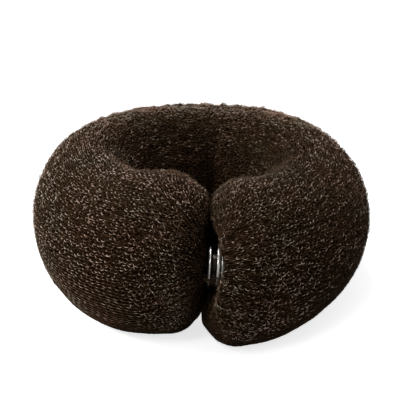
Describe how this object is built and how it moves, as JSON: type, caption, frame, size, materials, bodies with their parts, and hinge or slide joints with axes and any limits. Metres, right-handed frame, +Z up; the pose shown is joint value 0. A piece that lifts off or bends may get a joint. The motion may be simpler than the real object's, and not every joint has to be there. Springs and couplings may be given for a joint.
{
  "type": "hair bun donut",
  "caption": "Soft padded ring of wound nylon net that shapes a hair bun: a fat roll bent round on itself and closed at the front by a press snap.",
  "frame": {"origin": "on the table, under the middle of the whole ring", "axes": "+Z up through the hole that the hair goes through, -Y towards the seam and the snap at the front, +X to the right as seen from the front"},
  "size_m": [0.0954, 0.0945, 0.0462],
  "materials": {
    "nylon_net": "dark brown knitted nylon net in many layers, springy and slightly glossy",
    "snap_metal": "bright nickel plate"
  },
  "bodies": {
    "root": {"padded_roll": "nylon_net", "snap_stud": "snap_metal", "snap_socket": "snap_metal"}
  },
  "joints": []
}
